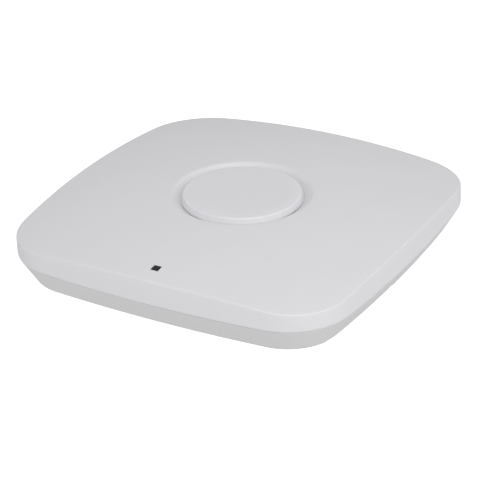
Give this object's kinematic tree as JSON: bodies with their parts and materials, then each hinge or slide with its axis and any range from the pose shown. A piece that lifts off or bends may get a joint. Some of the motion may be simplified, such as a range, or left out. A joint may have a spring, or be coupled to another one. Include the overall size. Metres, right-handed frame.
{
  "type": "ceiling access point",
  "caption": "Rounded-square white ceiling Wi-Fi access point with a crowned cover, round centre disc, status light, rear socket bay and a twist-lock ceiling bracket.",
  "frame": {"origin": "middle of the housing on the ceiling plane, which the lower shell's rim and the bracket touch", "axes": "+Z out of the cover, away from the ceiling; +X towards the side that the socket bay is on; the status light is at -Y"},
  "size_m": [0.21, 0.21, 0.0349],
  "materials": {
    "cover_white": "fine moulded texture, satin",
    "shell_white": "fine moulded texture, satin",
    "lens_black": "polished smoked plastic",
    "clear_plastic": "clear moulded plastic",
    "cast_aluminium": "as-cast, bead blasted",
    "zinc_steel": "bright zinc plated sheet",
    "tinned_steel": "tinned sheet",
    "board_green": "green solder mask",
    "antenna_board": "dark green solder mask",
    "chip_black": "moulded epoxy",
    "black_plastic": "moulded nylon",
    "led_white": "white ceramic body with a yellow phosphor",
    "rubber_grey": "moulded rubber",
    "thermal_grey": "soft silicone",
    "label_paper": "blank matt film",
    "copper_sheet": "plated sheet",
    "lead_black": "extruded jacket",
    "capacitor_can": "drawn can",
    "screw_steel": "machined"
  },
  "bodies": {
    "housing": {"top_cover": "cover_white", "centre_disc": "cover_white", "lower_shell": "shell_white", "led_lens": "lens_black", "light_pipe": "clear_plastic", "heat_sink": "cast_aluminium", "processor_heat_sink": "cast_aluminium", "socket_panel": "zinc_steel", "lock_slot_plate": "zinc_steel", "radio_shield_1": "tinned_steel", "radio_shield_2": "tinned_steel", "radio_shield_3": "tinned_steel", "network_jack_1": "tinned_steel", "network_jack_2": "tinned_steel", "usb_port": "tinned_steel", "main_board": "board_green", "antenna_board_1": "antenna_board", "antenna_board_2": "antenna_board", "antenna_board_3": "antenna_board", "antenna_board_4": "antenna_board", "processor_chip": "chip_black", "poe_transformer": "chip_black", "ethernet_magnetics_1": "chip_black", "ethernet_magnetics_2": "chip_black", "reset_switch": "chip_black", "power_jack": "black_plastic", "status_led": "led_white", "thermal_pad": "thermal_grey", "rating_label": "label_paper", "folded_antenna_1": "copper_sheet", "folded_antenna_2": "copper_sheet", "folded_antenna_3": "copper_sheet", "folded_antenna_4": "copper_sheet", "coax_lead_1": "lead_black", "coax_lead_2": "lead_black", "coax_lead_3": "lead_black", "coax_lead_4": "lead_black", "capacitor_1": "capacitor_can", "capacitor_2": "capacitor_can", "capacitor_3": "capacitor_can", "case_screw_1": "screw_steel", "case_screw_2": "screw_steel", "case_screw_3": "screw_steel", "case_screw_4": "screw_steel", "board_screw_1": "screw_steel", "board_screw_2": "screw_steel", "board_screw_3": "screw_steel", "board_screw_4": "screw_steel"},
    "bracket": {"ceiling_bracket": "zinc_steel"},
    "lock": {"lock_slider": "black_plastic"},
    "reset": {"reset_button": "black_plastic"},
    "usb_cap": {"usb_port_cap": "rubber_grey"}
  },
  "joints": [
    {"name": "bracket_twist", "type": "hinge", "parent": "housing", "child": "bracket", "pos_m": [0, 0, 0], "axis": [0, 0, 1], "range_deg": [0, 25]},
    {"name": "lock_slide", "type": "slide", "parent": "housing", "child": "lock", "axis": [0, 1, 0], "range_m": [0, 0.0034]},
    {"name": "reset_press", "type": "slide", "parent": "housing", "child": "reset", "axis": [-1, 0, 0], "range_m": [0, 0.0008], "stiffness_N_per_m": 300},
    {"name": "usb_cap_pull", "type": "slide", "parent": "housing", "child": "usb_cap", "axis": [1, 0, 0], "range_m": [0, 0.0095]}
  ]
}
